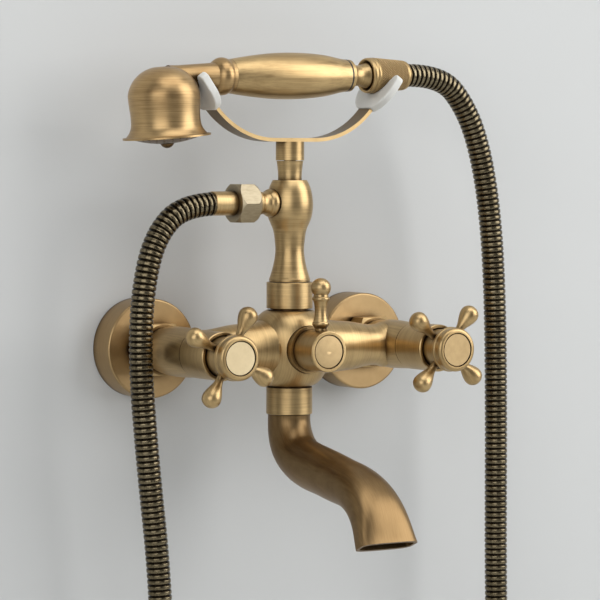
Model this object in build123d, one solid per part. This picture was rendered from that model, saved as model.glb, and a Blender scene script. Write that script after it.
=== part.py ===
from build123d import *
import os
from math import asin, cos, pi, radians, sin, sqrt, tan

# Wall-mounted bath and shower mixer with two cross handles, a lever diverter, a
# swivelling spout and a hand shower that lies in a cradle on top of a riser.
# Lengths are in mm and angles in degrees. X runs along the wall, Y into the wall
# and Z up. Places are worked out from the mixer's own axis, which lies
# union_offset above the wall studs, and the origin is midway between the studs.

# Whole mixer
inlet_spacing = 150.0
union_offset = 8.0
riser_depth = 51.3
handset_tilt = 1.1
running_gap = 0.05
seat_gap = 0.3
overrun = 2.0

# Wall connection
flange_r = 29.5
flange_depth = 18.4
flange_wall = 1.6
flange_edge = 1.2
flange_hole_gap = 0.15
stud_r = 10.48
stud_length = 16.0
stud_bore_r = 7.0
union_start = 3.0
union_shoulder = 9.0
union_face = 26.4
union_thread_r = 13.22
union_bore_r = 9.5
inlet_washer_thickness = 2.0
inlet_washer_bore_r = 8.2
lip_r = 12.9
lip_thickness = 2.0
nut_across_flats = 30.0
nut_back_gap = 0.6
nut_shoulder = 2.0
nut_corner_drop = 1.6
tail_r = 10.2
tail_gap = 0.15
tail_bore_r = 7.0

# Valve barrels and the body between them
barrel_gap = 0.6
barrel_length = 39.4
barrel_r = 14.6
barrel_shares = ((0.0, 0.90), (0.16, 0.96), (0.43, 1.0), (0.75, 0.975), (1.0, 0.94))
chamber_r = 10.6
chamber_depth = 28.6
arm_root_r = 17.0
arm_shares = ((0.24, 1.02), (0.40, 0.91), (0.57, 0.85), (0.68, 0.77), (0.79, 0.725), (0.88, 0.80))
arm_bore_r = 5.5
hub_r = 24.0
hub_half_height = 22.6
hub_shares = ((0.556, 1.0), (0.742, 0.876), (0.867, 0.69), (0.97, 0.354), (1.0, 0.0))
boss_r = 13.6
boss_length = 19.1
water_r = 6.5
stub_r = 11.2
stub_length = 9.4

# Headworks, discs and spindles
seal_thickness = 2.0
seal_bore_r = 5.5
disc_r = 8.7
disc_thickness = 2.6
disc_port_r = 2.4
disc_port_place = 4.6
cage_r = 10.5
cage_bore_r = 8.9
cage_start = 46.4
cage_roof = 58.0
window_width = 9.0
window_start = 49.0
window_end = 56.5
headwork_flange_r = 11.9
headwork_flange = 1.8
headwork_across_flats = 19.0
headwork_hex = 5.0
headwork_neck_r = 7.5
headwork_end = 86.4
spindle_r = 3.5
spindle_foot_r = 6.0
spindle_foot = 3.0
o_ring_section = 1.5
o_ring_place = 84.0
tapped_depth = 9.0

# Valve sleeves and cross handles
sleeve_gap = 0.4
sleeve_length = 26.0
sleeve_r = 14.0
sleeve_bore_r = 12.2
sleeve_web_start = 79.8
sleeve_web = 2.5
sleeve_edge = 0.5
handle_back = 96.0
handle_neck_r = 11.5
bezel_start = 109.5
bezel_r = 13.3
bezel_width = 2.8
bezel_bulge = 0.7
bezel_groove = 0.6
bezel_groove_r = 12.2
cap_ring_r = 12.9
handle_front = 118.0
handle_edge = 2.0
handle_recess_r = 10.1
handle_recess = 1.8
cap_gap = 0.7
cap_thickness = 1.5
spindle_end = 106.0
screw_r = 2.0
screw_head_r = 4.0
screw_head = 2.4
screw_length = 8.0
screw_pocket_gap = 0.6
screw_slot_width = 1.0
screw_slot_depth = 1.1
arm_plane = 106.0
arm_reach = 31.4
arm_ball_r = 5.6
cross_shares = (
    (0.28, 0.50), (0.38, 0.42), (0.46, 0.41), (0.54, 0.49), (0.62, 0.66), (0.70, 0.84),
    (0.77, 0.96), (0.83, 1.0), (0.90, 0.92), (0.96, 0.64), (1.0, 0.0),
)
arm_count = 4
left_arm_angle = 62.4
right_arm_angle = 49.6

# Diverter
bonnet_r = 14.0
bonnet_collar = 4.6
bonnet_plug_r = 8.95
bonnet_plug = 11.6
diverter_bore_r = 9.0
knob_gap = 0.4
knob_length = 19.1
knob_r = 12.1
knob_edge = 0.6
knob_recess_r = 10.1
knob_recess = 1.4
knob_cap_dome = 0.4
knob_cap_thickness = 1.0
diverter_spindle_reach = 12.6
diverter_web = 2.0
lever_place_share = 0.52
lever_seat = 11.3
lever_stud_r = 2.4
lever_stud = 5.0
lever_top = 42.7
lever_base_r = 3.4
lever_base_top = 13.2
lever_groove_r = 4.5
lever_bead_r = 5.1
lever_bead = 2.4
lever_beads = (16.0, 30.6)
lever_waist_r = 3.6
lever_neck_r = 4.3
lever_ball_r = 5.9
lever_ball_half_height = 5.7
ball_steps = 6

# Riser collar, column and neck
collar_gap = 0.9
collar_height = 15.6
collar_r = 13.7
collar_edge = 0.3
collar_thread_gap = 0.05
collar_shoulder = 2.4
column_gap = 0.3
column_height = 60.1
column_r = 13.8
column_bead_r = 12.2
column_bead = 1.6
column_shares = (
    (0.04, 0.86), (0.16, 0.71), (0.26, 0.634), (0.34, 0.62), (0.41, 0.65), (0.51, 0.72),
    (0.61, 0.90), (0.68, 0.973), (0.76, 1.0), (0.84, 0.973), (0.90, 0.92), (1.0, 0.735),
)
riser_tail_r = 8.6
riser_bore_r = 5.5
riser_washer_thickness = 2.2
riser_washer_r = 10.9
clip_thickness = 1.3
clip_r = 10.4
clip_groove_r = 7.6
clip_slit = 3.0
neck_height = 11.4
neck_waist_share = 0.33
neck_r = 7.1
neck_top_r = 8.0
neck_plug_r = 5.0
neck_plug = 8.0
neck_stud_r = 3.5
neck_stud = 5.0

# Cradle
post_gap = 0.3
post_height = 11.0
post_r = 8.43
strap_thickness = 2.2
strap_width = 12.4
strap_flat = 28.0
strap_bend_r = 54.0
strap_bend_angle = 54.0
fork_length = 19.0
fork_margin = 1.5
fork_slot_gap = 1.6
handset_rise = 1.2
liner_start = -4.5
liner_tip = 19.8
liner_arm = 6.5
liner_thickness = 4.8
liner_edge = 0.8
cradle_screw_r = 2.0
cradle_screw_head_r = 4.2
cradle_screw_head = 2.2
cradle_screw_length = 6.0

# Shower outlet and the wall end of the hose
outlet_height = 86.0
outlet_seat = 10.6
outlet_bead_r = 8.3
outlet_bead_middle = 12.9
outlet_bead_end = 16.6
outlet_bead_end_r = 7.2
outlet_neck_r = 6.6
outlet_neck_middle = 19.2
outlet_rim_r = 7.4
outlet_rim_start = 22.2
outlet_rim_end = 24.8
outlet_thread_r = 9.3
outlet_thread_start = 26.8
outlet_end = 33.0
outlet_plug_r = 6.2
outlet_plug = 5.0
outlet_bore_r = 4.2
hose_nut_start = 26.0
hose_nut_end = 39.6
hose_nut_across_flats = 22.4
hose_nut_chamfer = 3.2
hose_nut_drop = 2.0
hose_washer_thickness = 2.0
ferrule_flange = 1.4
ferrule_flange_r = 9.1
ferrule_bore_r = 4.5
ferrule_end = 54.5
ferrule_wall_r = 7.1
ferrule_edge = 0.5
nut_play = 0.1

# Hose
hose_r = 7.0
hose_valley_r = 6.3
hose_bore_r = 4.6
hose_ribs = 200
rib_shares = (0.10, 0.24, 0.76, 0.90)
wall_end = 46.5
handset_end = 83.5
hose_last_corner = 109.0
corner_share = 0.45

# Spout
spout_collar_gap = 0.5
spout_collar_height = 16.1
spout_gap = 0.3
spout_start_r = 12.7
spout_drop = 4.0
spout_bend_r = 24.0
spout_bend_angle = 79.5
spout_run = 51.5
spout_curl_r = 40.0
spout_curl_angle = 53.5
spout_lip = 10.0
spout_mouth_half_width = 19.5
spout_mouth_half_depth = 6.8
spout_wall = 2.0
spout_roof = 2.6
spout_tail_r = 8.6
spout_tail_end = 21.0
spout_bore_r = 6.2
spout_section_shares = (
    (0.0, 0.651, 1.868, 2.0), (0.05, 0.656, 1.88, 2.0), (0.16, 0.69, 1.98, 2.0), (0.28, 0.715, 2.05, 2.0),
    (0.42, 0.72, 2.03, 2.1), (0.56, 0.735, 1.96, 2.2), (0.68, 0.77, 1.83, 2.4), (0.79, 0.825, 1.62, 2.7),
    (0.88, 0.89, 1.34, 3.1), (0.95, 0.955, 1.10, 3.5), (1.0, 1.0, 1.0, 3.8),
)
section_points = 32
spout_groove = 1.9
spout_groove_r = 7.0
spout_groove_places = (23.4, 28.4)
spout_clip_place = 35.9

# Hand shower
bell_place = 87.3
bell_tilt = 4.8
bell_top = 5.6
bell_height = 40.7
bell_r = 20.9
bell_dome = 15.5
bell_rim_r = 25.6
bell_rim = 1.0
bell_wall = 1.8
bell_flare_shares = ((0.60, 0.795), (0.74, 0.785), (0.86, 0.81), (0.94, 0.88), (0.98, 0.965))
bell_post_r = 4.0
plate_r = 22.0
plate_recess = 0.6
plate_bulge = 4.2
plate_thickness = 1.2
plate_hole_r = 0.7
plate_hole_rings = ((7.0, 8), (11.0, 14), (15.0, 20), (19.0, 26))
plate_screw_r = 1.6
plate_screw_head_r = 4.0
plate_screw_head = 2.6
head_neck_r = 8.0
head_neck_narrow_r = 6.6
head_bead_start = 53.0
head_bead_r = 11.0
head_bead = 9.0
collar_end_r = 10.0
grip_left = 41.7
grip_right = 38.4
grip_r = 13.8
grip_shares = (
    (0.0, 0.73), (0.09, 0.81), (0.17, 0.87), (0.34, 0.968), (0.49, 1.0), (0.69, 0.962),
    (0.86, 0.845), (0.96, 0.73), (1.0, 0.70),
)
grip_bore_r = 7.6
spigot_r = 7.5
spigot_length = 20.0
handset_bore_r = 4.5
grip_ring = 1.0
grip_ring_r = 9.7
end_ring = 2.8
end_ring_r = 9.6
end_ring_edge = 0.8
end_neck_r = 7.6
end_neck_narrow_r = 6.2
end_neck_middle = 48.6
tail_thread_r = 8.1
tail_thread_start = 58.2
tail_end = 68.0
tail_nut_start = 53.4
tail_mouth_r = 9.3
tail_mouth_end = 57.6
tail_nut_end = 82.0
tail_nut_r = 10.7
tail_nut_shares = ((0.0, 0.93), (0.035, 0.985), (0.10, 1.0), (0.18, 1.0))
tail_nut_taper_shares = ((0.93, 0.83), (0.985, 0.79), (1.0, 0.74))
tail_washer_thickness = 2.0
tail_flange_r = 8.0

# Places that follow from the sizes above
inlet_x = inlet_spacing / 2
boss_front = riser_depth + boss_length
bonnet_front = boss_front + bonnet_collar
knob_back = bonnet_front + knob_gap
diverter_spindle_end = knob_back + diverter_spindle_reach
knob_front = knob_back + knob_length
lever_depth = knob_back + knob_length * lever_place_share
tail_face = union_face + inlet_washer_thickness
nut_front = tail_face + lip_thickness + nut_shoulder + seat_gap
barrel_back = nut_front + barrel_gap
barrel_front = barrel_back + barrel_length
chamber_floor = barrel_front - chamber_depth
disc_start = chamber_floor + seal_thickness
moving_start = disc_start + disc_thickness
spindle_start = moving_start + disc_thickness
stub_top = hub_half_height + stub_length
collar_bottom = hub_half_height + collar_gap
collar_top = collar_bottom + collar_height
column_bottom = collar_top + column_gap
column_top = column_bottom + column_height
riser_tail_end = stub_top + riser_washer_thickness
neck_top = column_top + neck_height
post_bottom = neck_top + post_gap
post_top = post_bottom + post_height
fork_rise = strap_bend_r * (1 - cos(radians(strap_bend_angle))) + fork_length * sin(radians(strap_bend_angle))
handset_height = post_top + fork_rise + handset_rise
spout_collar_top = hub_half_height + spout_collar_gap
spout_collar_bottom = spout_collar_top + spout_collar_height
spout_top = spout_collar_bottom + spout_gap
washer_end = outlet_end + hose_washer_thickness
tail_washer_end = tail_end + tail_washer_thickness


def turned(start, *moves):
    """Solid turned about Z from (radius, height) places; a list of places is one smooth curve."""
    edges = []
    here = start
    closed = moves[-1][-1] == start if isinstance(moves[-1], list) else False
    for move in moves if closed else [*moves, start]:
        stops = move if isinstance(move, list) else [move]
        places = [Vector(radius, 0, height) for radius, height in [here, *stops]]
        if len(places) == 2:
            edges.append(Line(*places))
        elif len(places) == 3:
            edges.append(ThreePointArc(*places))
        else:
            edges.append(Spline(*places))
        here = stops[-1]
    return revolve(make_face(edges), Axis.Z)


def ring(bore_r, outer_r, low, high):
    """Plain ring about Z."""
    return turned((bore_r, low), (outer_r, low), (outer_r, high), (bore_r, high))


def rod(radius, low, high):
    """Plain round bar about Z."""
    return turned((0, low), (radius, low), (radius, high), (0, high))


def hex_blank(across_flats, low, high, low_drop, high_drop):
    """Six-sided bar about Z whose corners are turned off at both ends."""
    corner_r = across_flats / sqrt(3)
    flat_r = across_flats / 2
    prism = Pos(0, 0, low) * extrude(RegularPolygon(corner_r, 6), high - low)
    blank = turned(
        (0, low), (flat_r, low), (corner_r, low + low_drop), (corner_r, high - high_drop), (flat_r, high),
        (0, high),
    )
    return prism & blank


def scaled(shares, length, radius, start=0.0):
    """Places of an outline from its (height share, radius share) table."""
    return [(radius * across, start + length * along) for along, across in shares]


def ball_cap(radius, edge, top):
    """Middle and end place of an arc of a ball from (radius, edge) to the axis at the top."""
    rise = abs(top - edge)
    ball_r = (radius**2 + rise**2) / (2 * rise)
    half = asin(radius / ball_r) / 2
    drop = ball_r * (1 - cos(half))
    return [(ball_r * sin(half), top - drop if top > edge else top + drop), (0, top)]


def out_from_wall(solid, x=0.0):
    """Lay a solid made about Z on an axis that points away from the wall."""
    return Pos(x, 0, 0) * Rot(90, 0, 0) * solid


def on_riser(solid):
    """Stand a solid made about Z on the riser's axis."""
    return Pos(0, -riser_depth, 0) * solid


def towards_left(solid, height):
    """Lay a solid made about Z on an axis that points left from the riser."""
    return Pos(0, -riser_depth, height) * Rot(0, -90, 0) * solid


def along_handset(solid):
    """Lay a solid made about Z on the hand shower's axis, which rises a little to the right."""
    return Pos(0, -riser_depth, handset_height) * Rot(0, 90 - handset_tilt, 0) * solid


def save(solid, name):
    """Write one node, moved up from the mixer's axis to the origin between the wall studs."""
    placed = Pos(0, 0, union_offset) * solid
    placed.label = name
    export_step(placed, f"parts/{name}.step")


def group(solids):
    """Several separate solids as one node."""
    return Compound(children=[piece for solid in solids for piece in solid.solids()])


# Wall connection
def wall_flange():
    inner_r = flange_r - flange_wall
    hole_r = union_thread_r + flange_hole_gap
    back = flange_depth - flange_wall
    edge_middle = flange_edge * (1 - cos(radians(45)))
    return turned(
        (inner_r, 0),
        (flange_r, 0),
        (flange_r, flange_depth - flange_edge),
        [(flange_r - edge_middle, flange_depth - edge_middle), (flange_r - flange_edge, flange_depth)],
        (hole_r, flange_depth),
        (hole_r, back),
        (inner_r, back),
    )


def inlet_union():
    """Eccentric union: the stud in the wall lies below the threaded end that takes the nut."""
    low = Pos(0, -union_offset, 0)
    stud = low * rod(stud_r, -stud_length, union_start)
    crank = loft([
        Pos(0, -union_offset, union_start) * Circle(stud_r),
        Pos(0, 0, union_shoulder) * Circle(union_thread_r),
    ])
    front = rod(union_thread_r, union_shoulder, union_face)
    bore = low * rod(stud_bore_r, -stud_length - overrun, union_shoulder)
    front_bore = rod(union_bore_r, union_start + overrun, union_face + overrun)
    return stud + crank + front - bore - front_bore


def union_nut():
    back = flange_depth + nut_back_gap
    blank = hex_blank(nut_across_flats, back, nut_front, nut_corner_drop, nut_corner_drop)
    thread = rod(union_thread_r + running_gap, back - overrun, nut_front - nut_shoulder)
    hole = rod(tail_r + tail_gap, back, nut_front + overrun)
    return blank - thread - hole


def inlet_washer():
    return ring(inlet_washer_bore_r, lip_r, union_face, tail_face)


# Mixer body
def barrel():
    """One valve barrel with the lipped tail that the union nut holds."""
    lip_front = tail_face + lip_thickness
    swell = scaled(barrel_shares, barrel_length, barrel_r, barrel_back)
    return turned(
        (0, tail_face), (lip_r, tail_face), (lip_r, lip_front), (tail_r, lip_front), (tail_r, barrel_back),
        swell[0], swell[1:], (0, barrel_front),
    )


def arm():
    """The body's right-hand arm, from the hub into the barrel."""
    curve = scaled(arm_shares, inlet_x, arm_root_r)
    return Rot(0, 90, 0) * turned((0, 0), (curve[0][0], 0), curve[0], curve[1:], (0, curve[-1][1]))


def hub():
    """Rounded hub with a threaded stub above and below and a pocket in front for the bonnet."""
    upper = [(hub_r * across, hub_half_height * along) for across, along in hub_shares]
    lower = [(radius, -height) for radius, height in upper]
    ball = turned((0, -hub_half_height), lower[0], [*lower[1:], *upper[-2::-1]], (0, hub_half_height))
    pocket = out_from_wall(rod(bonnet_r + seat_gap, boss_front, boss_front + hub_r))
    return on_riser(ball + rod(stub_r, -stub_top, stub_top)) - pocket


def mixer_body():
    body = hub() + out_from_wall(rod(boss_r, riser_depth, boss_front))
    for side in (-1, 1):
        body += on_riser(Rot(0, 0, 90 - 90 * side) * arm())
        body += out_from_wall(barrel(), side * inlet_x)
    for side in (-1, 1):
        body -= out_from_wall(rod(chamber_r, chamber_floor, barrel_front + overrun), side * inlet_x)
        body -= out_from_wall(rod(tail_bore_r, tail_face - overrun, chamber_floor + overrun), side * inlet_x)
    body -= on_riser(Rot(0, 90, 0) * rod(arm_bore_r, -inlet_x, inlet_x))
    body -= on_riser(rod(water_r, -stub_top - overrun, stub_top + overrun))
    body -= on_riser(rod(spout_tail_r + running_gap, -stub_top - overrun, seat_gap - spout_tail_end))
    return body - out_from_wall(rod(diverter_bore_r, chamber_floor, boss_front + overrun))


# Headworks and their discs
def seat_seal():
    return ring(seal_bore_r, disc_r, chamber_floor, disc_start)


def ceramic_disc(start):
    """Polished disc with two water ports."""
    disc = rod(disc_r, start, start + disc_thickness)
    for side in (-1, 1):
        port = rod(disc_port_r, start - overrun, start + disc_thickness + overrun)
        disc -= Pos(side * disc_port_place, 0, 0) * port
    return disc


def headwork():
    """Threaded insert that cages the discs and guides the spindle."""
    flange_front = barrel_front + headwork_flange
    hex_front = flange_front + headwork_hex
    body = rod(cage_r, cage_start, barrel_front) + rod(headwork_flange_r, barrel_front, flange_front)
    body += hex_blank(headwork_across_flats, flange_front, hex_front, 0, headwork_flange / 2)
    body += rod(headwork_neck_r, hex_front, headwork_end)
    body -= rod(cage_bore_r, cage_start - overrun, cage_roof)
    window = Pos(0, 0, (window_start + window_end) / 2) * Box(
        (cage_r + overrun) * 2, window_width, window_end - window_start
    )
    body -= window
    body -= rod(spindle_r + running_gap, cage_roof - overrun, headwork_end + overrun)
    return body - o_ring_groove()


def o_ring_groove():
    half = o_ring_section / 2
    bore = spindle_r + running_gap
    outer = bore + o_ring_section + running_gap
    low = o_ring_place - half - running_gap
    return ring(bore - running_gap, outer, low, o_ring_place + half + running_gap)


def o_ring(middle_r, place, section):
    return Pos(0, 0, place) * Torus(middle_r, section / 2)


def spindle(end):
    """Valve spindle with the foot that drives the moving disc and a tapped front end."""
    foot_end = spindle_start + spindle_foot
    bar = rod(spindle_foot_r, spindle_start, foot_end) + rod(spindle_r, foot_end, end)
    return bar - rod(screw_r + running_gap, end - tapped_depth, end + overrun)


def cap_screw(seat):
    """Slotted screw whose head lies on the seat."""
    screw = rod(screw_r, seat - screw_length, seat) + rod(screw_head_r, seat, seat + screw_head)
    slot = Pos(0, 0, seat + screw_head) * Box(
        (screw_head_r + overrun) * 2, screw_slot_width, screw_slot_depth * 2
    )
    return screw - slot


# Sleeves and cross handles
def valve_sleeve():
    back = barrel_front + sleeve_gap
    front = back + sleeve_length
    web_end = sleeve_web_start + sleeve_web
    hole_r = headwork_neck_r + running_gap
    return turned(
        (sleeve_bore_r, back), (sleeve_r - sleeve_edge, back), (sleeve_r, back + sleeve_edge),
        (sleeve_r, front - sleeve_edge), (sleeve_r - sleeve_edge, front), (sleeve_bore_r, front),
        (sleeve_bore_r, web_end), (hole_r, web_end), (hole_r, sleeve_web_start),
        (sleeve_bore_r, sleeve_web_start),
    )


def cross_arm():
    """One handle arm about Z: a thin neck that swells into a teardrop ball."""
    curve = scaled(cross_shares, arm_reach, arm_ball_r)
    return turned((0, curve[0][1]), curve[0], curve[1:])


def cross_handle(first_angle):
    """Handle hub with its bezel ring and recessed front, and the four arms."""
    bezel_end = bezel_start + bezel_width
    ring_start = bezel_end + bezel_groove
    edge_middle = handle_edge * (1 - cos(radians(45)))
    screw_seat = spindle_end + seat_gap + cap_gap + overrun
    hub_solid = turned(
        (0, handle_back), (handle_neck_r, handle_back), (handle_neck_r, bezel_start),
        (bezel_r - bezel_bulge, bezel_start),
        [(bezel_r, bezel_start + bezel_width / 2), (bezel_r - bezel_bulge, bezel_end)],
        (bezel_groove_r, bezel_end), (bezel_groove_r, ring_start), (cap_ring_r, ring_start),
        (cap_ring_r, handle_front - handle_edge),
        [(cap_ring_r - edge_middle, handle_front - edge_middle), (cap_ring_r - handle_edge, handle_front)],
        (0, handle_front),
    )
    for index in range(arm_count):
        angle = first_angle + index * 360 / arm_count
        hub_solid += Pos(0, 0, arm_plane) * Rot(0, 0, angle) * Rot(0, 90, 0) * cross_arm()
    hub_solid -= rod(spindle_r + running_gap, handle_back - overrun, spindle_end + seat_gap)
    hub_solid -= rod(screw_r + running_gap, handle_back, handle_front)
    hub_solid -= rod(screw_head_r + screw_pocket_gap, screw_seat, handle_front)
    return hub_solid - rod(handle_recess_r, handle_front - handle_recess, handle_front + overrun)


def handle_cap():
    floor = handle_front - handle_recess
    return rod(handle_recess_r - cap_gap, floor, floor + cap_thickness)


# Diverter
def diverter_bonnet():
    """Collar on the body's boss, with the plug that closes the diverter bore."""
    plug = rod(bonnet_plug_r, boss_front - bonnet_plug, boss_front)
    collar = rod(bonnet_r, boss_front, bonnet_front)
    hole = rod(spindle_r + running_gap, boss_front - bonnet_plug - overrun, bonnet_front + overrun)
    return plug + collar - hole


def diverter_knob():
    back = knob_back
    screw_seat = diverter_spindle_end + diverter_web
    edge_middle = knob_edge * (1 - cos(radians(45)))
    knob = turned(
        (0, back), (knob_r, back), (knob_r, knob_front - knob_edge),
        [(knob_r - edge_middle, knob_front - edge_middle), (knob_r - knob_edge, knob_front)], (0, knob_front),
    )
    knob -= rod(spindle_r + running_gap, back - overrun, diverter_spindle_end + seat_gap)
    knob -= rod(screw_r + running_gap, back, knob_front)
    knob -= rod(screw_head_r + screw_pocket_gap, screw_seat, knob_front)
    knob -= rod(knob_recess_r, knob_front - knob_recess, knob_front + overrun)
    spot = rod(lever_base_r + running_gap, lever_seat, knob_r + overrun)
    socket = rod(lever_stud_r + running_gap, lever_seat - lever_stud - seat_gap, knob_r + overrun)
    return knob - Pos(0, 0, lever_depth) * Rot(-90, 0, 0) * (spot + socket)


def diverter_cap():
    """Slightly domed disc in the knob's face."""
    floor = knob_front - knob_recess
    radius = knob_recess_r - cap_gap
    edge = floor + knob_cap_thickness
    return turned((0, floor), (radius, floor), (radius, edge), ball_cap(radius, edge, edge + knob_cap_dome))


def diverter_lever():
    """Turned lever: base, a bead, a waist, a second bead and an egg-shaped ball."""
    stud_end = lever_seat - lever_stud
    low, high = lever_beads
    half = lever_bead / 2
    ball_middle = lever_top - lever_ball_half_height
    rim = asin(lever_neck_r / lever_ball_r)
    ball = []
    for index in range(1, ball_steps + 1):
        angle = rim + (pi - rim) * index / ball_steps
        ball.append((lever_ball_r * sin(angle), ball_middle - lever_ball_half_height * cos(angle)))
    ball[-1] = (0, lever_top)
    ball_start = ball_middle - lever_ball_half_height * cos(rim)
    return turned(
        (0, stud_end), (lever_stud_r, stud_end), (lever_stud_r, lever_seat), (lever_base_r, lever_seat),
        (lever_base_r, lever_base_top), (lever_groove_r, low - half),
        [(lever_bead_r, low), (lever_groove_r, low + half)],
        [(lever_waist_r, (low + high) / 2), (lever_groove_r, high - half)],
        [(lever_bead_r, high), (lever_groove_r, high + half)], (lever_neck_r, ball_start), ball,
    )


# Riser
def riser_collar():
    shoulder = collar_top - collar_shoulder
    collar = turned(
        (stub_r + collar_thread_gap, collar_bottom), (collar_r - collar_edge, collar_bottom),
        (collar_r, collar_bottom + collar_edge), (collar_r, collar_top - collar_edge),
        (collar_r - collar_edge, collar_top), (riser_tail_r + tail_gap, collar_top),
        (riser_tail_r + tail_gap, shoulder), (stub_r + collar_thread_gap, shoulder),
    )
    return on_riser(collar)


def clip_place():
    return collar_top - collar_shoulder - seat_gap / 2 - clip_thickness


def riser_clip():
    """Split ring in the riser tail's groove, held under the collar's shoulder."""
    low = clip_place()
    clip = ring(clip_groove_r + running_gap, clip_r, low, low + clip_thickness)
    slit = Pos(clip_r, 0, low) * Box(clip_r * 2, clip_slit, (clip_thickness + overrun) * 2)
    return on_riser(clip - slit)


def riser_washer():
    return on_riser(ring(water_r, riser_washer_r, stub_top, riser_tail_end))


def riser_column():
    """Baluster column with its tail below and the seat of the shower outlet at its side."""
    curve = scaled(column_shares, column_height, column_r, column_bottom)
    bead_top = column_bottom + column_bead
    groove_low = clip_place() - running_gap
    groove_high = groove_low + clip_thickness + running_gap * 2
    column = turned(
        (riser_bore_r, riser_tail_end), (riser_tail_r, riser_tail_end), (riser_tail_r, groove_low),
        (clip_groove_r, groove_low), (clip_groove_r, groove_high), (riser_tail_r, groove_high),
        (riser_tail_r, column_bottom), (column_bead_r, column_bottom), (column_bead_r, bead_top),
        curve[0], curve[1:], (neck_plug_r + running_gap, column_top),
        (neck_plug_r + running_gap, column_top - neck_plug - seat_gap),
        (riser_bore_r, column_top - neck_plug - seat_gap - (riser_bore_r - neck_plug_r)),
    )
    column = on_riser(column)
    column -= towards_left(rod(outlet_bead_r + running_gap, outlet_seat, column_r + overrun), outlet_height)
    return column - towards_left(rod(outlet_plug_r + running_gap, 0, column_r), outlet_height)


def riser_neck():
    """Concave neck that plugs the column's top, with a stud for the cradle post."""
    neck = turned(
        (0, column_top - neck_plug), (neck_plug_r, column_top - neck_plug), (neck_plug_r, column_top),
        (neck_r, column_top), [(neck_r, column_top + neck_height * neck_waist_share), (neck_top_r, neck_top)],
        (neck_stud_r, neck_top), (neck_stud_r, neck_top + neck_stud), (0, neck_top + neck_stud),
    )
    return on_riser(neck)


# Cradle
def cradle_post():
    socket = rod(neck_stud_r + running_gap, post_bottom - overrun, neck_top + neck_stud + seat_gap)
    tapped = rod(cradle_screw_r + running_gap, post_top - cradle_screw_length, post_top + overrun)
    return on_riser(rod(post_r, post_bottom, post_top) - socket - tapped)


def strap_outline(shift):
    """Half of the strap's side view, shifted square to itself, as bend centre, start and end angle places."""
    bend_centre = (strap_flat / 2, post_top + strap_bend_r)
    radius = strap_bend_r - shift
    angle = radians(strap_bend_angle)
    half = radians(strap_bend_angle / 2)
    places = []
    for turn in (0, half, angle):
        places.append((bend_centre[0] + radius * sin(turn), bend_centre[1] - radius * cos(turn)))
    tip = (places[-1][0] + fork_length * cos(angle), places[-1][1] + fork_length * sin(angle))
    return [(0, post_top + shift), *places, tip]


def side_profile(low_shift, high_shift, depth):
    """Right half of a bar that follows the strap between two shifts, depth wide along Y."""
    low = [Vector(x, 0, z) for x, z in strap_outline(low_shift)]
    high = [Vector(x, 0, z) for x, z in strap_outline(high_shift)]
    edges = []
    for start, *bend, tip in (low, high):
        edges += [Line(start, bend[0]), ThreePointArc(*bend), Line(bend[-1], tip)]
    edges += [Line(low[0], high[0]), Line(low[-1], high[-1])]
    return extrude(make_face(edges), depth / 2, dir=(0, 1, 0), both=True)


def fork_plane():
    """Plane of a fork's blade: X along the row of prongs, Y up the blade, origin where the bend ends."""
    angle = radians(strap_bend_angle)
    bend_end = strap_outline(strap_thickness / 2)[-2]
    return Plane(origin=(bend_end[0], 0, bend_end[1]), x_dir=(0, 1, 0), z_dir=(sin(angle), 0, -cos(angle)))


def fork_blank(half_width, start, tip, arm, root_half_width, thickness):
    """Blade in the fork's plane: a flat root, a half-round bottom and two arms with round tips."""
    middle = start + sqrt(half_width**2 - root_half_width**2)
    turn = (pi / 2 - asin(root_half_width / half_width)) / 2
    tip_r = arm / 2
    edges = [Line((-root_half_width, start), (root_half_width, start))]
    for side in (-1, 1):
        bulge = (side * half_width * cos(turn), middle - half_width * sin(turn))
        outer = (side * half_width, tip - tip_r)
        inner = (side * (half_width - arm), tip - tip_r)
        edges += [
            ThreePointArc((side * root_half_width, start), bulge, (side * half_width, middle)),
            Line((side * half_width, middle), outer),
            ThreePointArc(outer, (side * (half_width - tip_r), tip), inner),
        ]
    edges.append(Line((half_width - arm, tip - tip_r), (arm - half_width, tip - tip_r)))
    return fork_plane() * extrude(make_face(edges), thickness / 2, both=True)


def handset_slot(slot_r, side):
    """Space of the hand shower and its way up, along X, for the fork on the side that is given."""
    axis = Pos(0, 0, handset_height) * Rot(0, -side * handset_tilt, 0)
    shaft = Pos(inlet_x, 0, strap_bend_r / 2) * Box(inlet_spacing, slot_r * 2, strap_bend_r)
    return axis * (Rot(0, 90, 0) * rod(slot_r, 0, inlet_spacing) + shaft)


def fork_half_width(slot_r):
    """Half the width over a liner's arms."""
    return slot_r + seat_gap + liner_arm


def strap_half(slot_r, side):
    """Half of the strap with its fork; the left half is the mirror of a right one."""
    bar = side_profile(0, strap_thickness, strap_width)
    half_width = fork_half_width(slot_r) - fork_margin
    start = liner_start + fork_margin
    arm_width = liner_arm - fork_margin
    tip = fork_length - fork_margin
    fork = fork_blank(half_width, start, tip, arm_width, strap_width / 2, strap_thickness)
    half = bar + fork - handset_slot(slot_r + fork_slot_gap, side)
    return mirror(half, Plane.YZ) if side < 0 else half


def cradle_strap():
    """Flat strap, bent up at both ends into forks."""
    strap = strap_half(tail_nut_r, 1) + strap_half(head_neck_r, -1)
    hole = rod(cradle_screw_r + running_gap, post_top - overrun, post_top + strap_thickness + overrun)
    sink_start = post_top + strap_thickness - cradle_screw_head
    sink = turned(
        (0, sink_start), (cradle_screw_r + running_gap, sink_start),
        (cradle_screw_head_r + running_gap, post_top + strap_thickness),
        (cradle_screw_head_r + running_gap, post_top + strap_thickness + overrun),
        (0, post_top + strap_thickness + overrun),
    )
    return on_riser(strap - hole - sink)


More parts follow.
